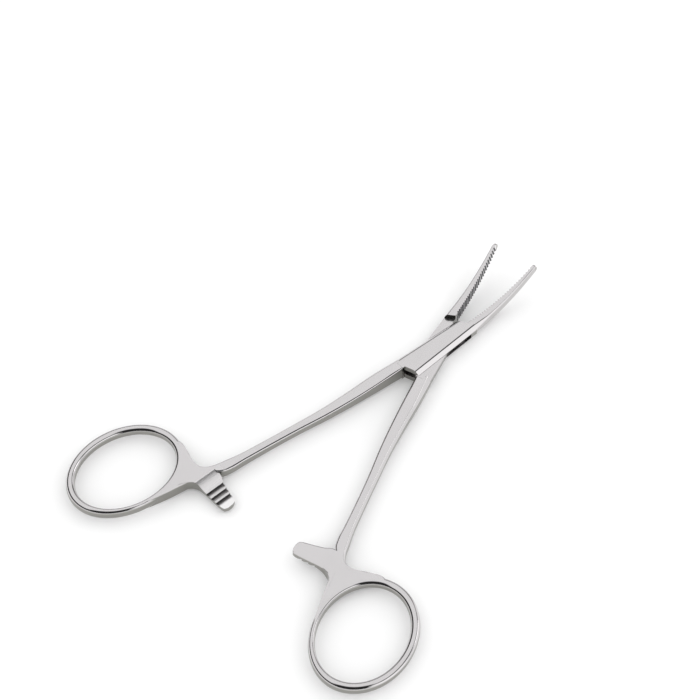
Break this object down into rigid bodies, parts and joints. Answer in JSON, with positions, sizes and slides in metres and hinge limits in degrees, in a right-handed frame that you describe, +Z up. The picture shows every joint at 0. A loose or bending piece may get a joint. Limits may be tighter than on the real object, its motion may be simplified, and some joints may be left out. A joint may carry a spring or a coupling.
{
  "type": "hemostat forceps",
  "caption": "Curved-jaw hemostat forceps lying open: crossing ring-handled halves pivot in a box lock, with ratchet arms and cross-serrated jaws.",
  "frame": {"origin": "on the pivot pin's axis, at the flat underside of the box lock", "axes": "+X along the closed forceps towards the jaw tips, +Y to the left, +Z up, the way the jaws curve"},
  "size_m": [0.1185, 0.0912, 0.0083],
  "materials": {
    "surgical_steel": "satin stainless steel with polished edges"
  },
  "bodies": {
    "box_lever": {"box_half": "surgical_steel", "pivot_pin": "surgical_steel"},
    "cross_lever": {"cross_half": "surgical_steel"}
  },
  "joints": [
    {"name": "lever_pivot", "type": "hinge", "parent": "box_lever", "child": "cross_lever", "pos_m": [0, 0, 0], "axis": [0, 0, 1], "range_deg": [-19.4, 22.6]}
  ]
}
